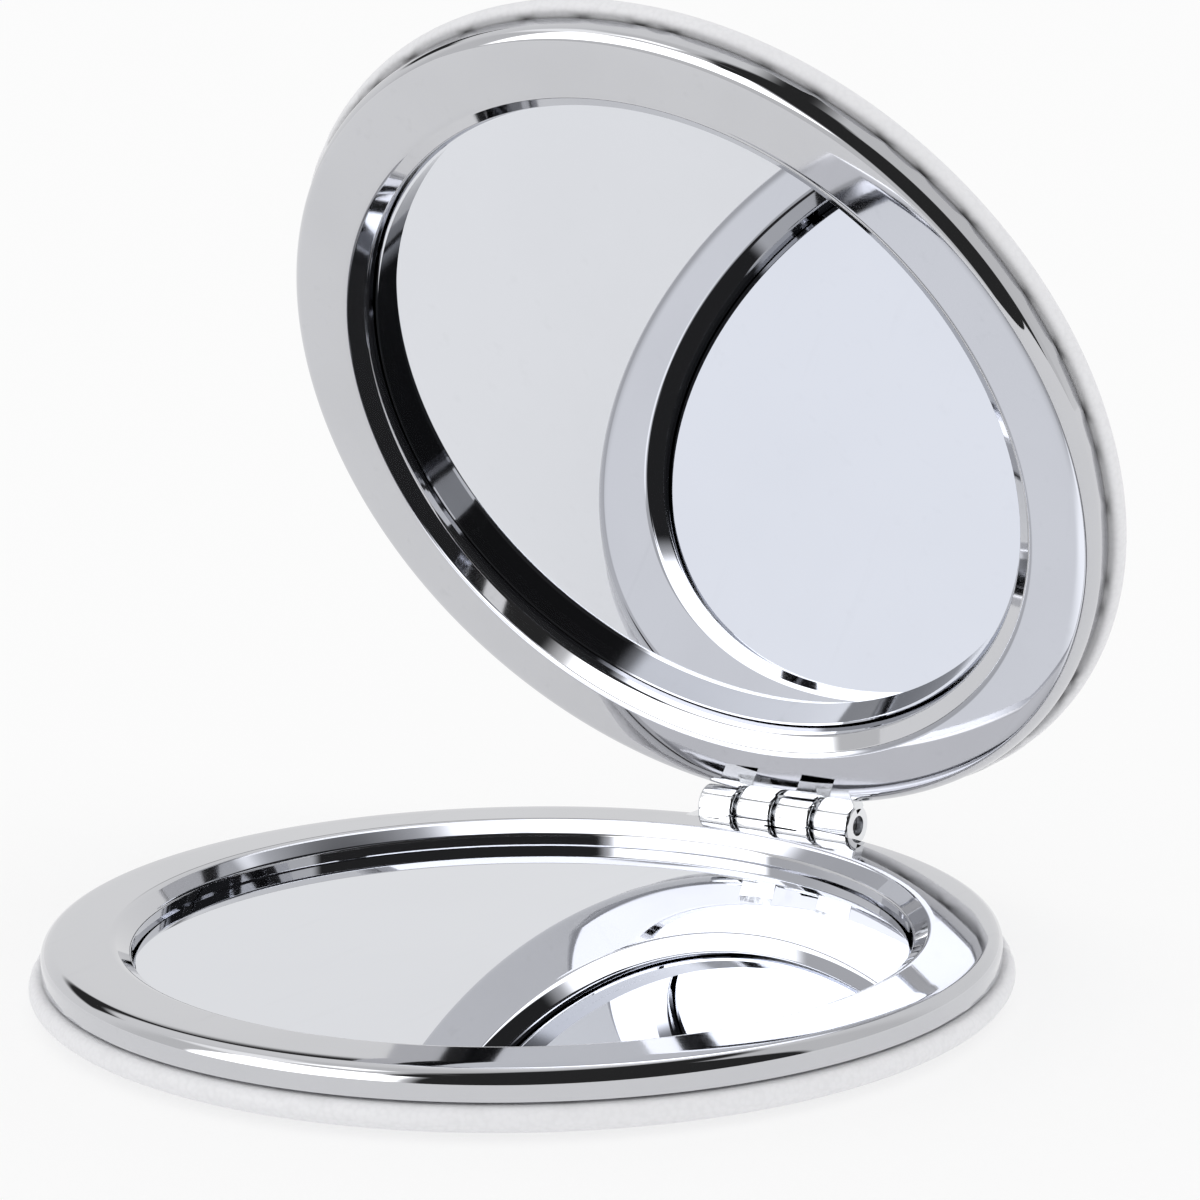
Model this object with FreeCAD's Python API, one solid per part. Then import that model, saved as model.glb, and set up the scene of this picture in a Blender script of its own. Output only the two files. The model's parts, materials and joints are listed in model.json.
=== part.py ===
import FreeCAD, Part
import math
import os

Vector = FreeCAD.Vector

# Compact mirror: two like halves joined by a hinge of four knuckles.
# Each half is a polished ring that carries a glass mirror, seated in a dished plate
# whose back is padded and wrapped in leatherette.
# A half is drawn lying on its back: z = 0 is the outside of its cover, +Y is the hinge side.
# The base stays as drawn. The lid is a second half, turned over and then swung open.

# The whole compact
cover_radius = 35.0
half_thickness = 4.5
closed_gap = 0.4
open_angle = 64.0

# Leatherette and padding on the back of a half
leatherette_thickness = 0.45
padding_thickness = 0.3
cover_soft_edge = 3.8
cover_widest_height = 1.35
cover_height = 2.25
cover_shoulder = 0.65

# Dished plate under the cover
plate_thickness = 0.35
plate_inner_bend = 0.3
plate_fit = 0.05

# Ring
ring_inset = 0.9
ring_width = 6.3
ring_lip = 0.7
seam_gap = 0.2
outer_round = 1.0
inner_bevel_width = 1.25
inner_bevel_depth = 0.95
bevel_upper_round = 0.3
bevel_lower_round = 0.15

# Mirror and the tape that holds it
mirror_thickness = 1.35
mirror_fit = 0.1
mirror_bevel = 0.2
tape_thickness = 0.2
tape_margin = 1.0

# Closing magnet, opposite the hinge
magnet_diameter = 3.0
magnet_thickness = 1.2
magnet_fit = 0.05

# Hinge
hinge_length = 14.0
hinge_standoff = 1.0
knuckle_count = 4
knuckle_gap = 0.3
knuckle_chamfer = 0.25
barrel_radius = 1.65
barrel_clearance = 0.3
arm_root = 2.4
arm_thickness = 1.3
pin_radius = 0.75
pin_fit = 0.05
pin_recess = 0.6
pin_grip_length = 1.5
pin_grip_fit = 0.01

# A cut runs past the faces that it opens by this much
overrun = 2.0

# Handle length of a curve that stands for a quarter of an ellipse
quarter_handle_share = 0.5523

# Heights and radii that follow from the sizes above
plate_bottom = leatherette_thickness + padding_thickness
plate_top = plate_bottom + plate_thickness
plate_rim_top = cover_height - leatherette_thickness
lip_height = cover_height + seam_gap
ring_radius = cover_radius - ring_inset
ring_bore = ring_radius - ring_width
ring_seat = ring_radius - ring_lip
bevel_top = (ring_bore + inner_bevel_width, half_thickness)
bevel_foot = (ring_bore, half_thickness - inner_bevel_depth)
plate_bore = ring_seat + plate_fit
plate_radius = plate_bore + plate_thickness
plate_outer_bend = plate_inner_bend + plate_thickness
soft_edge_start = cover_radius - cover_soft_edge
padding_radius = cover_radius - leatherette_thickness
mirror_radius = ring_bore - mirror_fit
mirror_bottom = plate_top + tape_thickness
mirror_top = mirror_bottom + mirror_thickness
magnet_place = (ring_radius + ring_bore) / 2
hinge_y = ring_radius + hinge_standoff
hinge_z = half_thickness + closed_gap / 2
hinge_centre = Vector(0, hinge_y, hinge_z)
hinge_clear_length = hinge_length + 2 * knuckle_gap
knuckle_length = (hinge_length - (knuckle_count - 1) * knuckle_gap) / knuckle_count
bore_radius = pin_radius + pin_fit


def point(place):
    """A radius and a height as a point of the half section."""
    return Vector(place[0], 0, place[1])


def quarter(start, corner, end):
    """Quarter of an ellipse from start to end, tangent to both sides of the corner."""
    start, corner, end = point(start), point(corner), point(end)
    curve = Part.BezierCurve()
    first_handle = start + (corner - start) * quarter_handle_share
    second_handle = end + (corner - end) * quarter_handle_share
    curve.setPoles([start, first_handle, second_handle, end])
    return curve.toShape()


def along(start, end, distance):
    """Place at a distance from start on the way to end."""
    share = distance / math.dist(start, end)
    return (start[0] + (end[0] - start[0]) * share, start[1] + (end[1] - start[1]) * share)


def section(start, steps):
    """Closed face of the half section. A step is one point, reached by a straight run,
    or a corner and an end, reached by a quarter round."""
    edges = []
    here = start
    for step in steps + [(start,)]:
        if len(step) == 1:
            edges.append(Part.LineSegment(point(here), point(step[0])).toShape())
        else:
            edges.append(quarter(here, step[0], step[1]))
        here = step[-1]
    return Part.Face(Part.Wire(edges))


def turned(start, steps):
    """The half section turned once about the middle of the half."""
    return section(start, steps).revolve(Vector(0, 0, 0), Vector(0, 0, 1), 360)


def bar_on_hinge(radius, length, left_end):
    """Round bar on the hinge axis."""
    return Part.makeCylinder(radius, length, hinge_centre + Vector(left_end, 0, 0), Vector(1, 0, 0))


def hinge_window():
    """Block that clears the hinge barrel out of the back of the cover."""
    floor = hinge_z - barrel_radius - barrel_clearance
    corner = Vector(-hinge_clear_length / 2, hinge_y - barrel_radius - overrun, floor)
    depth = 2 * (barrel_radius + overrun)
    return Part.makeBox(hinge_clear_length, depth, half_thickness, corner)


def leatherette():
    """Skin of the cover: flat back, soft bulged edge, top turned in over the plate's rim."""
    skin = turned((0, 0), [
        ((soft_edge_start, 0),),
        ((cover_radius, 0), (cover_radius, cover_widest_height)),
        ((cover_radius, cover_height), (cover_radius - cover_shoulder, cover_height)),
        ((plate_bore, cover_height),),
        ((plate_bore, plate_rim_top),),
        ((padding_radius, plate_rim_top),),
        ((padding_radius, cover_widest_height),),
        ((padding_radius, leatherette_thickness), (soft_edge_start, leatherette_thickness)),
        ((0, leatherette_thickness),),
    ])
    return skin.cut(hinge_window())


def padding():
    """Foam between the leatherette and the plate, wrapped up round the plate's edge."""
    foam = turned((0, leatherette_thickness), [
        ((soft_edge_start, leatherette_thickness),),
        ((padding_radius, leatherette_thickness), (padding_radius, cover_widest_height)),
        ((padding_radius, plate_rim_top),),
        ((plate_radius, plate_rim_top),),
        ((plate_radius, plate_bottom + plate_outer_bend),),
        ((plate_radius, plate_bottom), (plate_radius - plate_outer_bend, plate_bottom)),
        ((0, plate_bottom),),
    ])
    return foam.cut(hinge_window())


def plate():
    """Dish of even thickness with a bent up rim."""
    dish = turned((0, plate_bottom), [
        ((plate_radius - plate_outer_bend, plate_bottom),),
        ((plate_radius, plate_bottom), (plate_radius, plate_bottom + plate_outer_bend)),
        ((plate_radius, plate_rim_top),),
        ((plate_bore, plate_rim_top),),
        ((plate_bore, plate_top + plate_inner_bend),),
        ((plate_bore, plate_top), (plate_bore - plate_inner_bend, plate_top)),
        ((0, plate_top),),
    ])
    return dish.cut(hinge_window())


def knuckle(left_end):
    """Barrel with chamfered ends and the arm that joins it to the ring."""
    right_end = left_end + knuckle_length
    outline = [
        Vector(left_end, hinge_y, hinge_z),
        Vector(left_end, hinge_y, hinge_z + barrel_radius - knuckle_chamfer),
        Vector(left_end + knuckle_chamfer, hinge_y, hinge_z + barrel_radius),
        Vector(right_end - knuckle_chamfer, hinge_y, hinge_z + barrel_radius),
        Vector(right_end, hinge_y, hinge_z + barrel_radius - knuckle_chamfer),
        Vector(right_end, hinge_y, hinge_z),
    ]
    face = Part.Face(Part.makePolygon(outline + outline[:1]))
    barrel = face.revolve(hinge_centre, Vector(1, 0, 0), 360)
    arm_start = ring_radius - arm_root
    corner = Vector(left_end, arm_start, half_thickness - arm_thickness)
    arm = Part.makeBox(knuckle_length, hinge_y - arm_start, arm_thickness, corner)
    return barrel.fuse(arm)


def ring():
    """Ring with a rounded outer edge, a bevel down to the upright wall round the mirror, a lip over
    the cover's turned edge, and every second knuckle."""
    shape = turned((ring_bore, plate_top), [
        ((ring_seat - plate_inner_bend, plate_top),),
        ((ring_seat, plate_top + plate_inner_bend),),
        ((ring_seat, lip_height),),
        ((ring_radius, lip_height),),
        ((ring_radius, half_thickness - outer_round),),
        ((ring_radius, half_thickness), (ring_radius - outer_round, half_thickness)),
        ((bevel_top[0] + bevel_upper_round, half_thickness),),
        (bevel_top, along(bevel_top, bevel_foot, bevel_upper_round)),
        (along(bevel_foot, bevel_top, bevel_lower_round),),
        (bevel_foot, (ring_bore, bevel_foot[1] - bevel_lower_round)),
    ])
    relief_radius = barrel_radius + barrel_clearance
    shape = shape.cut(bar_on_hinge(relief_radius, hinge_clear_length, -hinge_clear_length / 2))
    for place in range(0, knuckle_count, 2):
        left_end = -hinge_length / 2 + place * (knuckle_length + knuckle_gap)
        shape = shape.fuse(knuckle(left_end))
    bore_length = hinge_length + 2 * overrun
    shape = shape.cut(bar_on_hinge(bore_radius, bore_length, -bore_length / 2))
    pocket_radius = magnet_diameter / 2 + magnet_fit
    pocket_start = Vector(0, -magnet_place, plate_top)
    shape = shape.cut(Part.makeCylinder(pocket_radius, magnet_thickness + magnet_fit, pocket_start))
    return shape.removeSplitter()


def mirror():
    """Glass disc with a bevelled front edge."""
    return turned((0, mirror_bottom), [
        ((mirror_radius, mirror_bottom),),
        ((mirror_radius, mirror_top - mirror_bevel),),
        ((mirror_radius - mirror_bevel, mirror_top),),
        ((0, mirror_top),),
    ])


def mirror_tape():
    """Disc of tape between the plate and the glass."""
    return Part.makeCylinder(mirror_radius - tape_margin, tape_thickness, Vector(0, 0, plate_top))


def magnet():
    """Closing magnet in its pocket under the ring's face."""
    return Part.makeCylinder(magnet_diameter / 2, magnet_thickness, Vector(0, -magnet_place, plate_top))


def hinge_pin():
    """Pin with a thicker gripping end in the first knuckle, sunk at both ends."""
    left_end = -hinge_length / 2 + pin_recess
    shaft = bar_on_hinge(pin_radius, hinge_length - 2 * pin_recess, left_end)
    grip = bar_on_hinge(bore_radius - pin_grip_fit, pin_grip_length, left_end)
    return shaft.fuse(grip).removeSplitter()


def as_lid(shape):
    """A copy of a base piece, turned over onto the base and swung open about the hinge."""
    lid_shape = shape.copy()
    lid_shape.rotate(hinge_centre, Vector(0, 1, 0), 180)
    lid_shape.rotate(hinge_centre, Vector(1, 0, 0), -open_angle)
    return lid_shape


half_pieces = {
    "ring": ring(),
    "mirror": mirror(),
    "mirror_tape": mirror_tape(),
    "magnet": magnet(),
    "plate": plate(),
    "padding": padding(),
    "leatherette": leatherette(),
}

os.makedirs("parts", exist_ok=True)
for name, shape in half_pieces.items():
    shape.exportStep("parts/base_" + name + ".step")
    as_lid(shape).exportStep("parts/lid_" + name + ".step")
hinge_pin().exportStep("parts/hinge_pin.step")
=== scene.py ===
"""Dresses the open compact mirror: chrome rings and hinge, silvered glass, padded leatherette backs."""
import json
import math

import bmesh
import bpy
import numpy as np
from bpy.props import FloatProperty, FloatVectorProperty, IntProperty, PointerProperty
from mathutils import Euler, Matrix, Vector


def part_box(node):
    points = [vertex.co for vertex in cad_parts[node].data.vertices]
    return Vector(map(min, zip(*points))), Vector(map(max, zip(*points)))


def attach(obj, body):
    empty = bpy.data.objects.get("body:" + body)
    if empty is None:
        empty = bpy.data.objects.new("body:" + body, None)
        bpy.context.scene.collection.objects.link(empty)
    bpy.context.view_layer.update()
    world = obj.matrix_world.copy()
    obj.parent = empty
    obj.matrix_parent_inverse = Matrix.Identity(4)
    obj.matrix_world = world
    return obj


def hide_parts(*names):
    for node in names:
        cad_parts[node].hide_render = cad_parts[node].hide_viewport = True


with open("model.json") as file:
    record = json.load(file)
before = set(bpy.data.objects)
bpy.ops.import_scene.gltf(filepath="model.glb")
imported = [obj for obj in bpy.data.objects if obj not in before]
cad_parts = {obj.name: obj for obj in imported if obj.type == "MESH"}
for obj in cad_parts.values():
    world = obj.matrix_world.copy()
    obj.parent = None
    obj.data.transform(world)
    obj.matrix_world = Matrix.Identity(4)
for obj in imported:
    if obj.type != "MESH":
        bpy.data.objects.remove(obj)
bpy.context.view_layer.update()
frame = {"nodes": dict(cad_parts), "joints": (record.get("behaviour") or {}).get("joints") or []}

bl_info = {
    "name": "Compact mirror",
    "version": (1, 0, 0),
    "blender": (4, 5, 0),
    "location": "View3D > Sidebar > Compact",
    "description": "Builds the looks of a round hinged compact mirror round its packed solids",
    "category": "Object",
}

MM = 0.001

HINGE = frame["joints"][0]
HINGE_PLACE = Vector(HINGE["pos_m"])
OPEN_ANGLE = -math.radians(HINGE["range_deg"][0])
COVER_LOW, COVER_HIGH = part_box("base_leatherette")
PLATE_LOW, PLATE_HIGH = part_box("base_plate")
RING_LOW, RING_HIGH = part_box("base_ring")
GLASS_LOW, GLASS_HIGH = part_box("base_mirror")

HALVES = ("base", "lid")
# Painted shade along the hem and in the deepest pleat of each half's cover, laid into its colour
PLEAT_SHADES = ((0.05, 0.2), (0.35, 0.9))
CAMERA_BEARING = math.radians(34.759)


def length(name, description, default):
    """A size in metres that shows with its unit."""
    return FloatProperty(name=name, description=description, default=default, unit="LENGTH", precision=5)


def colour(name, description, default):
    """A linear colour with a colour picker."""
    return FloatVectorProperty(
        name=name, description=description, default=default, size=3, subtype="COLOR", min=0, max=1
    )


class CompactSizes(bpy.types.PropertyGroup):
    """Sizes of one half, drawn lying on its back, and of the hinge."""

    ring_radius: length("Ring radius", "Outer radius of the chrome ring", RING_HIGH.x)
    ring_bottom: length("Ring bottom", "Height of the ring's foot", RING_LOW.z)
    ring_face: length("Ring face", "Height of the ring's flat face", 4.5 * MM)
    ring_bore: length("Ring bore", "Radius of the opening for the glass", GLASS_HIGH.x + 0.1 * MM)
    ring_seat: length("Ring seat", "Radius of the ring under its lip", RING_HIGH.x - 0.7 * MM)
    ring_lip: length("Lip height", "Height of the lip's underside", COVER_HIGH.z + 0.2 * MM)
    foot_bevel: length("Foot bevel", "Width of the bevel at the ring's foot", 0.3 * MM)
    outer_round: length("Outer round", "Radius of the ring's outer round", 1.0 * MM)
    crown_width: length("Crown width", "Width of the face's slight fall to its outer round", 0.9 * MM)
    inner_bevel: length("Inner bevel", "Width of the ring's inner bevel", 1.25 * MM)
    inner_depth: length("Inner depth", "Depth of the ring's inner bevel", 0.95 * MM)
    upper_round: length("Upper round", "Reach of the round at the bevel's upper edge", 0.3 * MM)
    lower_round: length("Lower round", "Reach of the round at the bevel's lower edge", 0.15 * MM)
    glass_bevel: length("Glass bevel", "Width of the bevel on the glass", 0.2 * MM)
    glass_rim: length("Glass rim", "Width of the rim that shows round the sunk silver", 0.2 * MM)
    silver: length("Silver", "Thickness of the silver at the back of the lid's glass", 0.03 * MM)
    leatherette: length("Leatherette", "Thickness of the leatherette", 0.45 * MM)
    soft_edge: length("Soft edge", "Width of the padded cover's soft edge", 3.8 * MM)
    widest_height: length("Widest height", "Height at which the cover is widest", 1.35 * MM)
    shoulder: length("Shoulder", "Width of the cover's upper shoulder", 0.65 * MM)
    hem_gap: length("Hem gap", "Room between the cover's turned hem and the ring", 0.05 * MM)
    pleat_depth: length("Pleat depth", "How deep a pleat of the turned edge is", 0.4 * MM)
    pleat_width: length("Pleat width", "Half width of a pleat", 0.7 * MM)
    pleat_start: length("Pleat start", "How far outside the ring's seat the pleats begin", 0.2 * MM)
    pleat_count: IntProperty(name="Pleats", description="Pleats round one cover", default=44, min=0)
    hinge_length: length("Hinge length", "Length of the four knuckles together", 14.0 * MM)
    knuckle_gap: length("Knuckle gap", "Gap between two knuckles", 0.3 * MM)
    knuckle_round: length("Knuckle round", "Round on a knuckle's ends", 0.3 * MM)
    barrel_radius: length("Barrel radius", "Radius of the hinge barrel", 1.65 * MM)
    barrel_clearance: length("Barrel clearance", "Room that a ring leaves round the barrel", 0.12 * MM)
    bore_radius: length("Pin bore", "Radius of the hole for the pin", 0.8 * MM)
    arm_root: length("Arm root", "How far a knuckle's arm runs into the ring", 2.4 * MM)
    arm_thickness: length("Arm thickness", "Height of a knuckle's arm below the ring's face", 1.3 * MM)
    arm_edge: length("Arm edge", "How far an arm's edges are rounded at its ends", 0.12 * MM)


class CompactColours(bpy.types.PropertyGroup):
    """Colours of the finishes."""

    chrome: colour("Chrome", "Polished chrome plating", (0.60, 0.605, 0.63))
    silver: colour("Silver", "Silvered glass", (0.745, 0.76, 0.80))
    glass_edge: colour("Glass edge", "Cut edge of the glass", (0.24, 0.245, 0.26))
    leatherette: colour("Leatherette", "White leatherette", (0.80, 0.80, 0.82))
    floor: colour("Floor", "Pale floor", (0.36, 0.36, 0.36))
    floor_glow: colour("Floor glow", "Light that comes up through the floor", (0.61, 0.61, 0.61))


def quarter(start, corner, end, steps=16):
    """Quarter of an ellipse, without its first point: the middle, plus the start arm times the cosine
    of an angle and the end arm times its sine, for angles up to a right angle."""
    start, corner, end = np.array(start), np.array(corner), np.array(end)
    middle = start + end - corner
    angle = np.linspace(0, math.pi / 2, steps + 1)[1:, None]
    return middle + (start - middle) * np.cos(angle) + (end - middle) * np.sin(angle)


def run(start, end, steps=1):
    """Straight run without its first point, in even steps."""
    share = np.linspace(0, 1, steps + 1)[1:, None]
    return np.array(start) * (1 - share) + np.array(end) * share


def plain(start, end, steps=4, hem=0.02 * MM):
    """Straight run with a narrow step at both ends, so that a round beside it leaves it flat."""
    start, end = np.array(start), np.array(end)
    share = hem / math.dist(start, end)
    first, last = start + (end - start) * share, end - (end - start) * share
    return np.concatenate([run(start, first), run(first, last, steps), run(last, end)])


def arc(middle, radius, start, end, steps):
    """Arc without its first point, from one tilt to another, in degrees: a tilt of 0 faces up and one of
    90 faces out. The radius times the sine is added to the middle's radius, and the cosine to its height."""
    tilt = np.radians(np.linspace(start, end, steps + 1)[1:, None])
    return np.array(middle) + radius * np.concatenate([np.sin(tilt), np.cos(tilt)], axis=1)


def columns(reach, window):
    """Columns round a half, counted from the hinge: the angle at the outer edge, how firmly a column
    keeps its x near that edge, and 1 where the hinge window cuts it. Two columns stand at each side
    of the window, one cut and one whole, so its side walls are upright."""
    edge = math.asin(window / reach)
    zone = np.linspace(-edge, edge, 49)
    side = np.linspace(edge, 2 * math.pi - edge, 385)
    away = np.minimum(side - edge, side[::-1] - edge)
    angle = np.concatenate([zone, side])
    hold = np.concatenate([np.ones_like(zone), np.clip(1 - away / edge, 0, 1)])
    cut = np.concatenate([np.ones_like(zone), np.zeros_like(side)])
    return angle, hold, cut


def carried_round(profile, reach, window):
    """A section of radius and height carried round the half. Near the outer edge a column by the hinge
    keeps its x, so its angle is the arc sine of that x over the radius; further in it is a plain angle.
    Gives the points as columns by rows, and the columns' cuts."""
    angle, hold, cut = columns(reach, window)
    radius, height = profile[:, 0][None, :], profile[:, 1][None, :]
    firm = hold[:, None] * np.clip((radius - 0.8 * reach) / (0.1 * reach), 0, 1)
    sine = np.sin(angle)[:, None]
    kept = np.arcsin(np.clip(reach * sine / np.maximum(radius, 0.7 * reach), -1, 1))
    turn = angle[:, None] + firm * (kept - np.arcsin(sine))
    points = np.stack([radius * np.sin(turn), radius * np.cos(turn), height + 0 * turn], axis=-1)
    return points, cut[:, None]


def spun(profile, around=96):
    """A section of place along the hinge and radius, turned about the hinge axis: y is the radius times
    the cosine of the turn and z the radius times its sine."""
    turn = np.linspace(0, 2 * math.pi, around, endpoint=False)[:, None]
    along, radius = profile[:, 0][None, :], profile[:, 1][None, :]
    y = HINGE_PLACE.y + radius * np.cos(turn)
    z = HINGE_PLACE.z + radius * np.sin(turn)
    return np.stack([along + 0 * turn, y, z], axis=-1)


def lid_turn():
    """Turns a half over onto the base, then swings it open about the hinge."""
    to_hinge = Matrix.Translation(HINGE_PLACE)
    over = Matrix.Rotation(math.pi, 4, "Y")
    swing = Matrix.Rotation(-OPEN_ANGLE, 4, "X")
    return to_hinge @ swing @ over @ to_hinge.inverted()


def grid_faces(columns_count, rows_count, first=0):
    """Quads between neighbouring columns and rows of a grid that closes on itself both ways."""
    column, row = np.meshgrid(np.arange(columns_count), np.arange(rows_count), indexing="ij")
    next_column, next_row = (column + 1) % columns_count, (row + 1) % rows_count
    corners = [(column, row), (next_column, row), (next_column, next_row), (column, next_row)]
    return first + np.stack([c * rows_count + r for c, r in corners], axis=-1).reshape(-1, 4)


def outward(points, faces):
    """Faces in the order that points outwards: a closed skin's signed volume is then above zero."""
    a, b, c, d = (points[faces[:, i]] for i in range(4))
    volume = np.einsum("ij,ij->", a, np.cross(b, c) + np.cross(c, d))
    return faces if volume > 0 else faces[:, ::-1]


def make_piece(name, half, grids, material, replaced, sharp_angle=35, painted_pleat_shade=None):
    """One object from closed grids: lid pieces are turned into place, double points are merged, faces
    are smooth up to the sharp angle, and the piece rides on its body in place of the CAD nodes. A value
    of painted shade for each point, which darkens a cover's colour, is kept as an attribute."""
    points, faces, first = [], [], 0
    for grid in grids:
        flat = grid.reshape(-1, 3)
        faces.append(first + outward(flat, grid_faces(*grid.shape[:2])))
        points.append(flat)
        first += len(flat)
    points = np.concatenate(points)
    if half == "lid":
        turn = np.array(lid_turn())
        points = points @ turn[:3, :3].T + turn[:3, 3]
    mesh = bpy.data.meshes.new(name)
    mesh.from_pydata(points.tolist(), [], np.concatenate(faces).tolist())
    # Painted shade for a cover's colour, stored as a point attribute
    if painted_pleat_shade is not None:
        mesh.attributes.new("painted_pleat_shade", "FLOAT", "POINT").data.foreach_set("value", painted_pleat_shade.ravel())
    work = bmesh.new()
    work.from_mesh(mesh)
    bmesh.ops.remove_doubles(work, verts=work.verts, dist=0.0002 * MM)
    bmesh.ops.dissolve_degenerate(work, edges=work.edges, dist=0.0002 * MM)
    work.to_mesh(mesh)
    work.free()
    mesh.shade_smooth()
    mesh.set_sharp_from_angle(angle=math.radians(sharp_angle))
    mesh.materials.append(material)
    piece = bpy.data.objects.new(name, mesh)
    bpy.context.scene.collection.objects.link(piece)
    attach(piece, half)
    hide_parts(*replaced)
    return piece


def new_material(name):
    """An empty node material with its shader and output."""
    material = bpy.data.materials.new(name)
    material.use_nodes = True
    nodes, links = material.node_tree.nodes, material.node_tree.links
    shader = nodes["Principled BSDF"]
    return material, nodes, links, shader


def polish_group():
    """Handling marks on a polished surface: soft smudges from a coarse noise and hairlines from a
    stretched fine noise, as one mask from 0 to 1."""
    group = bpy.data.node_groups.get("handling_marks")
    if group:
        return group
    group = bpy.data.node_groups.new("handling_marks", "ShaderNodeTree")
    group.interface.new_socket("Smudge scale", in_out="INPUT", socket_type="NodeSocketFloat")
    group.interface.new_socket("Hairline scale", in_out="INPUT", socket_type="NodeSocketFloat")
    group.interface.new_socket("Mask", in_out="OUTPUT", socket_type="NodeSocketFloat")
    nodes, links = group.nodes, group.links
    entry, leave = nodes.new("NodeGroupInput"), nodes.new("NodeGroupOutput")
    place = nodes.new("ShaderNodeTexCoord")
    smudge = nodes.new("ShaderNodeTexNoise")
    smudge.inputs["Detail"].default_value = 3
    stretch = nodes.new("ShaderNodeMapping")
    stretch.inputs["Scale"].default_value = (1, 0.08, 1)
    stretch.inputs["Rotation"].default_value = (0.3, 0.2, 0.6)
    hairline = nodes.new("ShaderNodeTexNoise")
    hairline.inputs["Detail"].default_value = 2
    cut = nodes.new("ShaderNodeMapRange")
    cut.inputs["From Min"].default_value = 0.62
    cut.inputs["From Max"].default_value = 0.8
    both = nodes.new("ShaderNodeMath")
    both.operation = "MAXIMUM"
    soft = nodes.new("ShaderNodeMapRange")
    soft.inputs["From Min"].default_value = 0.45
    soft.inputs["From Max"].default_value = 0.8
    links.new(place.outputs["Object"], smudge.inputs["Vector"])
    links.new(place.outputs["Object"], stretch.inputs["Vector"])
    links.new(stretch.outputs["Vector"], hairline.inputs["Vector"])
    links.new(entry.outputs["Smudge scale"], smudge.inputs["Scale"])
    links.new(entry.outputs["Hairline scale"], hairline.inputs["Scale"])
    links.new(smudge.outputs["Fac"], soft.inputs["Value"])
    links.new(hairline.outputs["Fac"], cut.inputs["Value"])
    links.new(soft.outputs["Result"], both.inputs[0])
    links.new(cut.outputs["Result"], both.inputs[1])
    links.new(both.outputs["Value"], leave.inputs["Mask"])
    return group


def polished_metal(name, base, worn, clean_roughness, worn_roughness, smudge_scale, hairline_scale):
    """Metal whose roughness and colour drift a little with the handling marks."""
    material, nodes, links, shader = new_material(name)
    marks = nodes.new("ShaderNodeGroup")
    marks.node_tree = polish_group()
    marks.inputs["Smudge scale"].default_value = smudge_scale
    marks.inputs["Hairline scale"].default_value = hairline_scale
    rough = nodes.new("ShaderNodeMapRange")
    rough.inputs["To Min"].default_value = clean_roughness
    rough.inputs["To Max"].default_value = worn_roughness
    tint = nodes.new("ShaderNodeMix")
    tint.data_type = "RGBA"
    tint.inputs["A"].default_value = (*base, 1)
    tint.inputs["B"].default_value = (*worn, 1)
    links.new(marks.outputs["Mask"], rough.inputs["Value"])
    links.new(marks.outputs["Mask"], tint.inputs["Factor"])
    links.new(rough.outputs["Result"], shader.inputs["Roughness"])
    links.new(tint.outputs["Result"], shader.inputs["Base Color"])
    shader.inputs["Metallic"].default_value = 1
    return material


def leatherette_material(base):
    """White leatherette: rounded grain cells from a cell pattern, finer pores from noise, both as bump,
    with creases between the cells a little darker and rougher. A point attribute paints shade into the
    colour along the hem and in the pleats."""
    material, nodes, links, shader = new_material("white_leatherette")
    place = nodes.new("ShaderNodeTexCoord")
    cells = nodes.new("ShaderNodeTexVoronoi")
    cells.feature = "SMOOTH_F1"
    cells.inputs["Scale"].default_value = 3000
    cells.inputs["Smoothness"].default_value = 0.6
    pores = nodes.new("ShaderNodeTexNoise")
    pores.inputs["Scale"].default_value = 9000
    pores.inputs["Detail"].default_value = 2
    height = nodes.new("ShaderNodeMix")
    height.inputs["Factor"].default_value = 0.25
    crease = nodes.new("ShaderNodeMapRange")
    crease.inputs["From Min"].default_value = 0.35
    crease.inputs["From Max"].default_value = 0.75
    tint = nodes.new("ShaderNodeMix")
    tint.data_type = "RGBA"
    tint.inputs["A"].default_value = (*base, 1)
    tint.inputs["B"].default_value = (*[0.96 * c for c in base], 1)
    # Painted shade: an attribute mixes the colour towards dark grey along the hem and in the pleats
    painted_pleat_shade = nodes.new("ShaderNodeAttribute")
    painted_pleat_shade.attribute_name = "painted_pleat_shade"
    shade = nodes.new("ShaderNodeMix")
    shade.data_type = "RGBA"
    shade.inputs["B"].default_value = (*[0.12 * c for c in base], 1)
    rough = nodes.new("ShaderNodeMapRange")
    rough.inputs["To Min"].default_value = 0.46
    rough.inputs["To Max"].default_value = 0.62
    bump = nodes.new("ShaderNodeBump")
    bump.invert = True
    bump.inputs["Strength"].default_value = 0.2
    bump.inputs["Distance"].default_value = 0.01 * MM
    links.new(place.outputs["Object"], cells.inputs["Vector"])
    links.new(place.outputs["Object"], pores.inputs["Vector"])
    links.new(cells.outputs["Distance"], height.inputs["A"])
    links.new(pores.outputs["Fac"], height.inputs["B"])
    links.new(height.outputs["Result"], bump.inputs["Height"])
    links.new(cells.outputs["Distance"], crease.inputs["Value"])
    links.new(crease.outputs["Result"], tint.inputs["Factor"])
    links.new(crease.outputs["Result"], rough.inputs["Value"])
    links.new(tint.outputs["Result"], shade.inputs["A"])
    links.new(painted_pleat_shade.outputs["Fac"], shade.inputs["Factor"])
    links.new(shade.outputs["Result"], shader.inputs["Base Color"])
    links.new(rough.outputs["Result"], shader.inputs["Roughness"])
    links.new(bump.outputs["Normal"], shader.inputs["Normal"])
    return material


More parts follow.
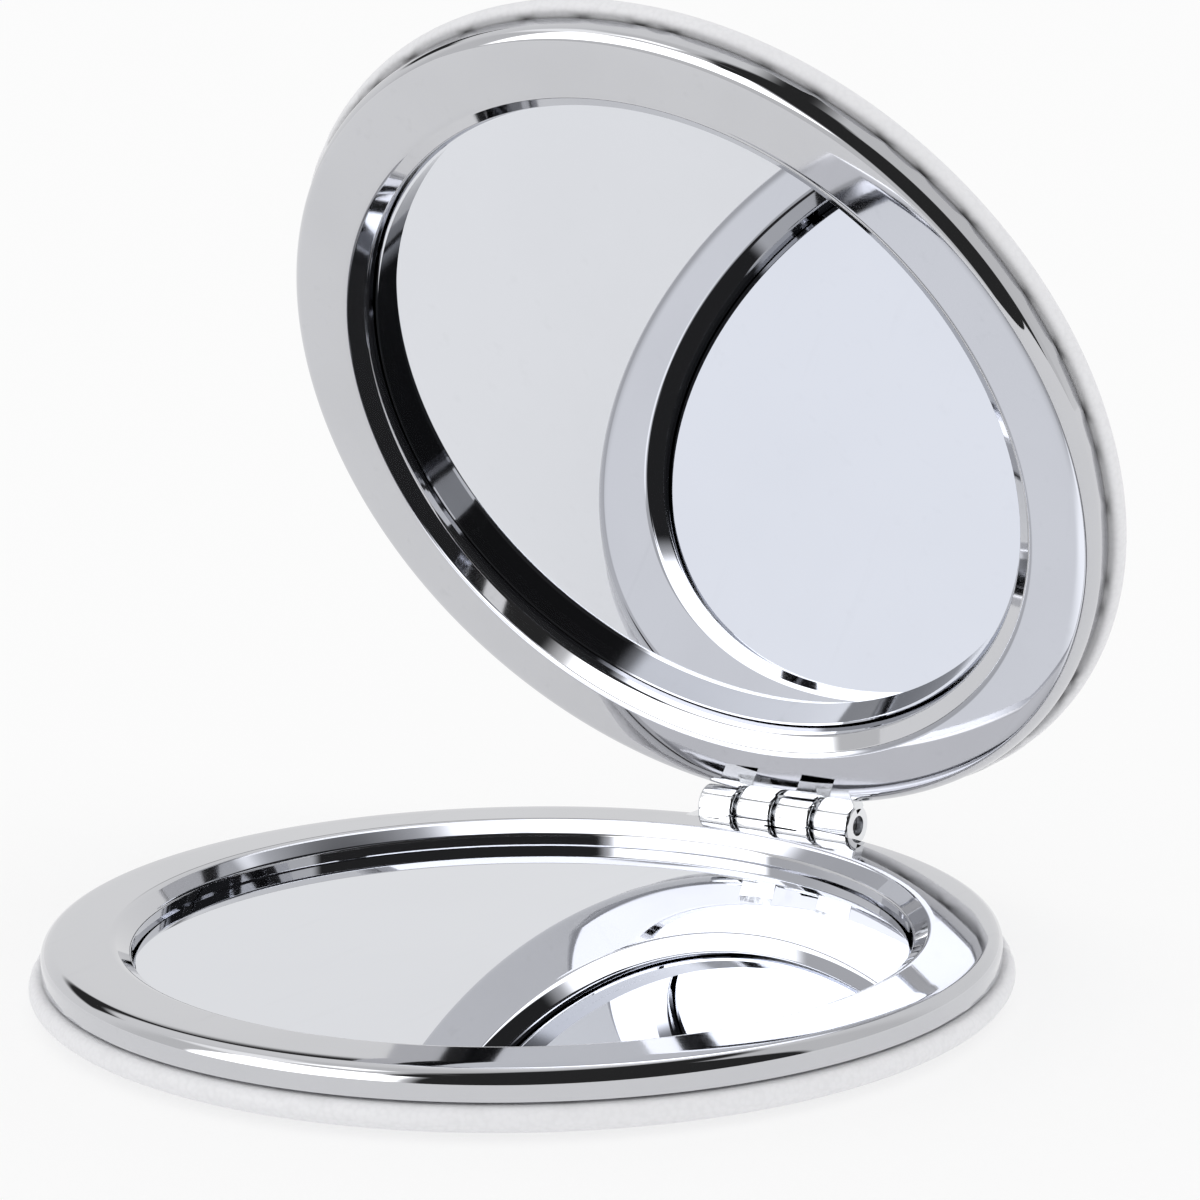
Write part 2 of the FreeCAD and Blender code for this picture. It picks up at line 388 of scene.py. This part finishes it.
class COMPACT_OT_rings(bpy.types.Operator):
    """Chrome rings: an upright outside, a round, a face that falls a little towards it and an inner bevel,
    cut back at the hinge"""

    bl_idname = "compact.rings"
    bl_label = "Chrome rings"

    def execute(self, context):
        size, colours = context.scene.compact_sizes, context.scene.compact_colours
        chrome = polished_metal("polished_chrome", colours.chrome, [0.96 * c for c in colours.chrome],
                                0.03, 0.06, 90, 900)
        face, bore, foot = size.ring_face, size.ring_bore, size.ring_bottom
        outer, lip, seat = size.ring_radius, size.ring_lip, size.ring_seat
        fall, turned = 4.0, size.outer_round
        sine, cosine = math.sin(math.radians(fall)), math.cos(math.radians(fall))
        crown = size.crown_width / sine
        crown_middle = (outer - turned + turned * sine - size.crown_width, face - crown)
        round_middle = (outer - turned, crown_middle[1] + (crown - turned) * cosine)
        wall_top, face_edge = (outer, round_middle[1]), (crown_middle[0], face)
        bevel_top = np.array((bore + size.inner_bevel, face))
        bevel_foot = np.array((bore, face - size.inner_depth))
        slope = (bevel_foot - bevel_top) / math.dist(bevel_top, bevel_foot)
        upper_start, upper_end = bevel_top + (size.upper_round, 0), bevel_top + slope * size.upper_round
        lower_start, lower_end = bevel_foot - slope * size.lower_round, bevel_foot - (0, size.lower_round)
        profile = np.concatenate([
            run((bore, foot), (seat - size.foot_bevel, foot)),
            run((seat - size.foot_bevel, foot), (seat, foot + size.foot_bevel)),
            run((seat, foot + size.foot_bevel), (seat, lip), 8),
            run((seat, lip), (outer, lip), 2),
            plain((outer, lip), wall_top),
            arc(round_middle, turned, 90, fall, 32),
            arc(crown_middle, crown, fall, 0, 12),
            plain(face_edge, upper_start),
            quarter(upper_start, bevel_top, upper_end, 12),
            plain(upper_end, lower_start),
            quarter(lower_start, bevel_foot, lower_end, 8),
            plain(lower_end, (bore, foot)),
        ])
        window = size.hinge_length / 2 + size.knuckle_gap
        for half in HALVES:
            points, cut = carried_round(profile, outer, window)
            relief = size.barrel_radius + size.barrel_clearance
            drop = points[..., 2] - HINGE_PLACE.z
            wall = HINGE_PLACE.y - np.sqrt(np.maximum(relief ** 2 - drop ** 2, 0))
            trimmed = np.minimum(points[..., 1], np.where(np.abs(drop) < relief, wall, np.inf))
            points[..., 1] = np.where(cut > 0, trimmed, points[..., 1])
            make_piece(half + "_chrome_ring", half, [points], chrome, [half + "_ring"])
        return {"FINISHED"}


class COMPACT_OT_knuckles(bpy.types.Operator):
    """Hinge knuckles: round-ended barrels with a pin bore, each on an arm from its ring"""

    bl_idname = "compact.knuckles"
    bl_label = "Hinge knuckles"

    def execute(self, context):
        size = context.scene.compact_sizes
        chrome = bpy.data.materials["polished_chrome"]
        long = (size.hinge_length - 3 * size.knuckle_gap) / 4
        radius, bend, bore = size.barrel_radius, size.knuckle_round, size.bore_radius
        for half in HALVES:
            grids = []
            for place in (0, 2):
                left = -size.hinge_length / 2 + place * (long + size.knuckle_gap)
                right = left + long
                barrel = np.concatenate([
                    run((left, bore), (left, radius - bend), 2),
                    quarter((left, radius - bend), (left, radius), (left + bend, radius), 8),
                    run((left + bend, radius), (right - bend, radius), 4),
                    quarter((right - bend, radius), (right, radius), (right, radius - bend), 8),
                    run((right, radius - bend), (right, bore), 2),
                    run((right, bore), (left, bore), 4),
                ])
                grids.append(spun(barrel))
                grids.append(self.arm(size, left, right))
            make_piece(half + "_knuckles", half, grids, chrome, [half + "_ring"])
        return {"FINISHED"}

    @staticmethod
    def arm(size, left, right):
        """Upright bar from the ring to the barrel: a rectangle of depth and height carried along x, drawn
        in at both ends to close it and rounded a little along its edges."""
        low, high = size.ring_face - size.arm_thickness, size.ring_face
        front, back = size.ring_radius - size.arm_root, HINGE_PLACE.y - size.bore_radius
        edge = size.arm_edge
        corners = np.array([(front, low), (back, low), (back, high), (front, high)])
        middle = corners.mean(0)
        stations = np.array([left, left, left + edge, right - edge, right, right])
        draw = np.array([0, 1, 1, 1, 1, 0])
        inset = np.array([0, edge, 0, 0, edge, 0])
        loops = []
        for x, share, inner in zip(stations, draw, inset):
            loop = middle + (corners - middle) * share - np.sign(corners - middle) * inner * share
            loops.append(np.column_stack([np.full(4, x), loop]))
        return np.stack(loops)


class COMPACT_OT_mirrors(bpy.types.Operator):
    """Silvered glass discs with a bevelled front edge and duller upright edges: the lid's silver is drawn
    at the back of its glass, inside a narrow rim, and the base's at the front"""

    bl_idname = "compact.mirrors"
    bl_label = "Mirrors"

    def execute(self, context):
        size, colours = context.scene.compact_sizes, context.scene.compact_colours
        silver = polished_metal("silvered_glass", colours.silver, [0.98 * c for c in colours.silver],
                                0.0, 0.012, 60, 700)
        edge = polished_metal("glass_edge", colours.glass_edge, [0.9 * c for c in colours.glass_edge],
                              0.05, 0.12, 60, 700)
        radius, low, high, bevel = GLASS_HIGH.x, GLASS_LOW.z, GLASS_HIGH.z, size.glass_bevel
        rim = radius - bevel - size.glass_rim
        fronts = {"base": high, "lid": low + size.silver}
        turn = np.linspace(0, 2 * math.pi, 256, endpoint=False)[:, None]
        for half, front in fronts.items():
            profile = np.concatenate([
                run((0, low), (radius, low), 2),
                run((radius, low), (radius, high - bevel), 2),
                run((radius, high - bevel), (radius - bevel, high)),
                run((radius - bevel, high), (rim, high)),
                run((rim, high), (rim, front), 2),
                run((rim, front), (0, front), 3),
                run((0, front), (0, low)),
            ])
            along, height = profile[:, 0][None, :], profile[:, 1][None, :]
            points = np.stack([along * np.sin(turn), along * np.cos(turn), height + 0 * turn], axis=-1)
            glass = make_piece(half + "_glass", half, [points], silver,
                               [half + "_mirror"], 20)
            glass.data.materials.append(edge)
            axis = lid_turn().to_3x3().col[2] if half == "lid" else Vector((0, 0, 1))
            normals = np.zeros(3 * len(glass.data.polygons))
            glass.data.polygons.foreach_get("normal", normals)
            upright = np.abs(normals.reshape(-1, 3) @ np.array(axis)) < 0.5
            glass.data.polygons.foreach_set("material_index", upright.astype(np.int32))
        return {"FINISHED"}


class COMPACT_OT_covers(bpy.types.Operator):
    """Padded leatherette covers: a flat back, a soft bulged edge, and pleats where the edge turns in"""

    bl_idname = "compact.covers"
    bl_label = "Leatherette covers"

    def execute(self, context):
        size, colours = context.scene.compact_sizes, context.scene.compact_colours
        white = leatherette_material(colours.leatherette)
        reach, top, skin = COVER_HIGH.x, COVER_HIGH.z, size.leatherette
        flat, wide, turn_in = reach - size.soft_edge, size.widest_height, size.ring_seat + size.hem_gap
        inner, inner_top = reach - skin, top - skin
        profile = np.concatenate([
            run((0, 0), (flat, 0), 24),
            quarter((flat, 0), (reach, 0), (reach, wide), 24),
            quarter((reach, wide), (reach, top), (reach - size.shoulder, top), 16),
            run((reach - size.shoulder, top), (turn_in, top), 3),
            run((turn_in, top), (turn_in, inner_top), 2),
            run((turn_in, inner_top), (inner, inner_top), 2),
            run((inner, inner_top), (inner, wide), 2),
            quarter((inner, wide), (inner, skin), (flat, skin), 12),
            run((flat, skin), (0, skin), 4),
            run((0, skin), (0, 0)),
        ])
        window = size.hinge_length / 2 + size.knuckle_gap
        window_floor = HINGE_PLACE.z - size.barrel_radius - size.barrel_clearance
        for order, half in enumerate(HALVES):
            points, cut = carried_round(profile, reach, window)
            points, painted_pleat_shade = self.pleated(points, profile, size, order)
            lowered = np.minimum(points[..., 2], window_floor)
            points[..., 2] = np.where(cut > 0, lowered, points[..., 2])
            cover = make_piece(half + "_cover", half, [points], white,
                               [half + "_leatherette"], 50, painted_pleat_shade)
        return {"FINISHED"}

    @staticmethod
    def pleated(points, profile, size, order):
        """Pulls the upper shoulder in at uneven places round the edge: each pleat is a bell curve of the
        distance round the edge, strongest at the top and gone at the widest height. Gives the points and
        a painted shade from 0 to 1: some along the hem and more in the deeper pleats, strongest at the top."""
        draws = np.random.default_rng(11 + order)
        even = np.arange(size.pleat_count) * 2 * math.pi / size.pleat_count
        places = even + draws.uniform(-0.3, 0.3, size.pleat_count) * 2 * math.pi / size.pleat_count
        depths = size.pleat_depth * draws.uniform(0.4, 1, size.pleat_count)
        turn = np.arctan2(points[..., 0], points[..., 1])
        outside = profile[:, 0] > size.ring_seat + size.pleat_start
        upper = np.clip((profile[:, 1] - size.widest_height) / (COVER_HIGH.z - size.widest_height), 0, 1)
        share = np.where(outside, upper, 0) ** 1.5
        pull = np.zeros_like(turn)
        for place, depth in zip(places, depths):
            away = (turn - place + math.pi) % (2 * math.pi) - math.pi
            pull += depth * np.exp(-((away * COVER_HIGH.x / size.pleat_width) ** 2))
        radius = np.maximum(np.hypot(points[..., 0], points[..., 1]), MM)
        scale = 1 - pull * share[None, :] / radius
        # Painted shade: the cover's colour darkens along the hem and in the pleats, more on the lid than on
        # the base
        hem, deep = PLEAT_SHADES[order]
        painted_pleat_shade = np.clip(hem + deep * pull / size.pleat_depth, 0, 1) * share[None, :] ** 5
        return points * np.stack([scale, scale, np.ones_like(scale)], axis=-1), painted_pleat_shade


class COMPACT_OT_inner_pieces(bpy.types.Operator):
    """Finishes of the solids that stay as they are: pin, plates, padding, tapes and magnets"""

    bl_idname = "compact.inner_pieces"
    bl_label = "Inner pieces"

    def execute(self, context):
        pin = polished_metal("drawn_pin_steel", (0.42, 0.43, 0.45), (0.3, 0.3, 0.31),
                             0.25, 0.45, 300, 2500)
        plate = polished_metal("stamped_plate_steel", (0.5, 0.51, 0.53), (0.4, 0.41, 0.42),
                               0.3, 0.5, 120, 1500)
        nickel = polished_metal("magnet_nickel", (0.6, 0.58, 0.54), (0.5, 0.48, 0.45),
                                0.15, 0.35, 400, 2500)
        foam = self.soft_white("padding_foam", (0.85, 0.84, 0.8), (0.7, 0.69, 0.65), 2600)
        tape = self.soft_white("white_tape", (0.82, 0.82, 0.8), (0.74, 0.74, 0.72), 900)
        finishes = {"hinge_pin": pin}
        for half in HALVES:
            finishes[half + "_plate"] = plate
            finishes[half + "_magnet"] = nickel
            finishes[half + "_padding"] = foam
            finishes[half + "_mirror_tape"] = tape
        for node, material in finishes.items():
            slots = frame["nodes"][node].data.materials
            slots.clear()
            slots.append(material)
        return {"FINISHED"}

    @staticmethod
    def soft_white(name, light, dark, scale):
        """Matte pale material with a fine mottle, used for foam and tape."""
        material, nodes, links, shader = new_material(name)
        place = nodes.new("ShaderNodeTexCoord")
        mottle = nodes.new("ShaderNodeTexNoise")
        mottle.inputs["Scale"].default_value = scale
        tint = nodes.new("ShaderNodeMix")
        tint.data_type = "RGBA"
        tint.inputs["A"].default_value = (*light, 1)
        tint.inputs["B"].default_value = (*dark, 1)
        links.new(place.outputs["Object"], mottle.inputs["Vector"])
        links.new(mottle.outputs["Fac"], tint.inputs["Factor"])
        links.new(tint.outputs["Result"], shader.inputs["Base Color"])
        shader.inputs["Roughness"].default_value = 0.85
        return material


class COMPACT_OT_stage(bpy.types.Operator):
    """Pale floor, soft studio light and the camera"""

    bl_idname = "compact.stage"
    bl_label = "Stage"

    def execute(self, context):
        scene, colours = context.scene, context.scene.compact_colours
        self.floor(scene, colours.floor, colours.floor_glow)
        self.light(scene)
        self.camera(scene)
        scene.view_settings.view_transform = "Standard"
        return {"FINISHED"}

    @staticmethod
    def floor(scene, tone, glow):
        """Wide light table under the object. Its front edge runs across the view, just below the picture,
        and comes forward on the right."""
        reach, front = 20.0, 62 * MM
        mesh = bpy.data.meshes.new("floor")
        turn = Matrix.Rotation(CAMERA_BEARING, 3, "Z")
        corners = [turn @ Vector(corner) for corner in (
            (-reach, -front, 0), (0, -front, 0), (reach, -front - reach, 0),
            (reach, reach, 0), (0, reach, 0), (-reach, reach, 0))]
        mesh.from_pydata(corners, [], [(0, 1, 4, 5), (1, 2, 3, 4)])
        material, nodes, links, shader = new_material("pale_floor")
        shader.inputs["Base Color"].default_value = (*tone, 1)
        shader.inputs["Roughness"].default_value = 0.7
        shader.inputs["Specular IOR Level"].default_value = 0
        shader.inputs["Emission Color"].default_value = (*glow, 1)
        shader.inputs["Emission Strength"].default_value = 1
        mesh.materials.append(material)
        floor = bpy.data.objects.new("floor", mesh)
        scene.collection.objects.link(floor)

    @staticmethod
    def light(scene):
        """Studio surround. The camera and soft light see plain white. Reflections see pale walls, a dark
        strip on the back wall, a dark ceiling over the right, two bright panels high on the left, a dark
        room behind the camera, a large soft box on its left and a dark patch over the box's corner."""
        world = bpy.data.worlds.new("studio")
        world.use_nodes = True
        nodes, links = world.node_tree.nodes, world.node_tree.links
        place = nodes.new("ShaderNodeTexCoord").outputs["Generated"]

        def both(first, second):
            """Mask of what lies in two masks: their product."""
            node = nodes.new("ShaderNodeMath")
            node.operation = "MULTIPLY"
            links.new(first, node.inputs[0])
            links.new(second, node.inputs[1])
            return node.outputs["Value"]

        def beyond(bearing, rise, angle, edge):
            """1 where a direction lies within an angle of a bearing, counted from the camera's side to its
            right, and a rise; 0 elsewhere, with a soft edge. All in degrees."""
            turn, lift = math.radians(bearing) + CAMERA_BEARING, math.radians(rise)
            aim = nodes.new("ShaderNodeVectorMath")
            aim.operation = "DOT_PRODUCT"
            aim.inputs[1].default_value = (
                math.sin(turn) * math.cos(lift), -math.cos(turn) * math.cos(lift), math.sin(lift))
            links.new(place, aim.inputs[0])
            soft = nodes.new("ShaderNodeMapRange")
            soft.interpolation_type = "SMOOTHSTEP"
            soft.inputs["From Min"].default_value = math.cos(math.radians(angle + edge))
            soft.inputs["From Max"].default_value = math.cos(math.radians(angle - edge))
            links.new(aim.outputs["Value"], soft.inputs["Value"])
            return soft.outputs["Result"]

        def sector(left, right, edge):
            """Mask of the bearings between two bearings."""
            return both(beyond(left + 90, 0, 90, edge), beyond(right - 90, 0, 90, edge))

        def layer(low, high, edge):
            """Mask of the rises between two rises."""
            return both(beyond(0, 90, 90 - low, edge), beyond(0, -90, 90 + high, edge))

        def paint(below, tone, mask):
            """Lays a tone over what is below it."""
            mix = nodes.new("ShaderNodeMix")
            mix.inputs["B"].default_value = tone
            links.new(mask, mix.inputs["Factor"])
            if isinstance(below, float):
                mix.inputs["A"].default_value = below
            else:
                links.new(below, mix.inputs["A"])
            return mix.outputs["Result"]

        side_walls, back_wall, dark, low_panel, high_panel, soft_box = 0.75, 0.9, 0.03, 1.3, 1.9, 3.2
        tone = paint(side_walls, back_wall, beyond(180, 0, 75, 10))
        tone = paint(tone, dark, both(sector(-179, -125, 2), layer(22, 33, 2)))
        tone = paint(tone, dark, both(beyond(50, 0, 90, 4), beyond(0, 90, 28, 3)))
        tone = paint(tone, low_panel, both(sector(-110, -70, 4), layer(41, 61, 4)))
        tone = paint(tone, high_panel, both(sector(-79, -50, 2), layer(54.5, 66, 1)))
        tone = paint(tone, dark, sector(-24, 68, 2))
        tone = paint(tone, soft_box, both(sector(-80, -27.5, 2), layer(-4, 44, 2)))
        tone = paint(tone, dark, both(sector(-36, -20, 2), layer(37.5, 62, 2)))
        shiny = nodes.new("ShaderNodeLightPath").outputs["Is Glossy Ray"]
        strength = nodes.new("ShaderNodeMix")
        strength.inputs["A"].default_value = 1.0
        links.new(shiny, strength.inputs["Factor"])
        links.new(tone, strength.inputs["B"])
        links.new(strength.outputs["Result"], nodes["Background"].inputs["Strength"])
        nodes["Background"].inputs["Color"].default_value = (1, 1, 1, 1)
        scene.world = world

    @staticmethod
    def camera(scene):
        """Camera of the photograph, from its bearing, height and tilt."""
        data = bpy.data.cameras.new("photo_camera")
        data.sensor_width = 36
        data.lens = 107.423
        data.clip_start, data.clip_end = 0.01, 100
        camera = bpy.data.objects.new("photo_camera", data)
        bearing, rise, roll = CAMERA_BEARING, math.radians(10.824), math.radians(-0.641)
        camera.location = Vector((145.491, -199.523, 74.872)) * MM
        camera.rotation_euler = (Euler((math.pi / 2 - rise, 0, bearing)).to_matrix()
                                 @ Matrix.Rotation(roll, 3, "Z")).to_euler()
        scene.collection.objects.link(camera)
        scene.camera = camera


class COMPACT_PT_panel(bpy.types.Panel):
    """Lists the steps that build the compact mirror"""

    bl_label = "Compact mirror"
    bl_idname = "COMPACT_PT_panel"
    bl_space_type = "VIEW_3D"
    bl_region_type = "UI"
    bl_category = "Compact"

    def draw(self, context):
        for step in STEPS:
            self.layout.operator(step.bl_idname)


STEPS = (
    COMPACT_OT_rings,
    COMPACT_OT_knuckles,
    COMPACT_OT_mirrors,
    COMPACT_OT_covers,
    COMPACT_OT_inner_pieces,
    COMPACT_OT_stage,
)
CLASSES = (CompactSizes, CompactColours, *STEPS, COMPACT_PT_panel)


def register():
    for item in CLASSES:
        bpy.utils.register_class(item)
    bpy.types.Scene.compact_sizes = PointerProperty(type=CompactSizes)
    bpy.types.Scene.compact_colours = PointerProperty(type=CompactColours)


def unregister():
    del bpy.types.Scene.compact_colours
    del bpy.types.Scene.compact_sizes
    for item in reversed(CLASSES):
        bpy.utils.unregister_class(item)


def main():
    register()
    bpy.ops.compact.rings()
    bpy.ops.compact.knuckles()
    bpy.ops.compact.mirrors()
    bpy.ops.compact.covers()
    bpy.ops.compact.inner_pieces()
    bpy.ops.compact.stage()


if __name__ == "__main__":
    main()
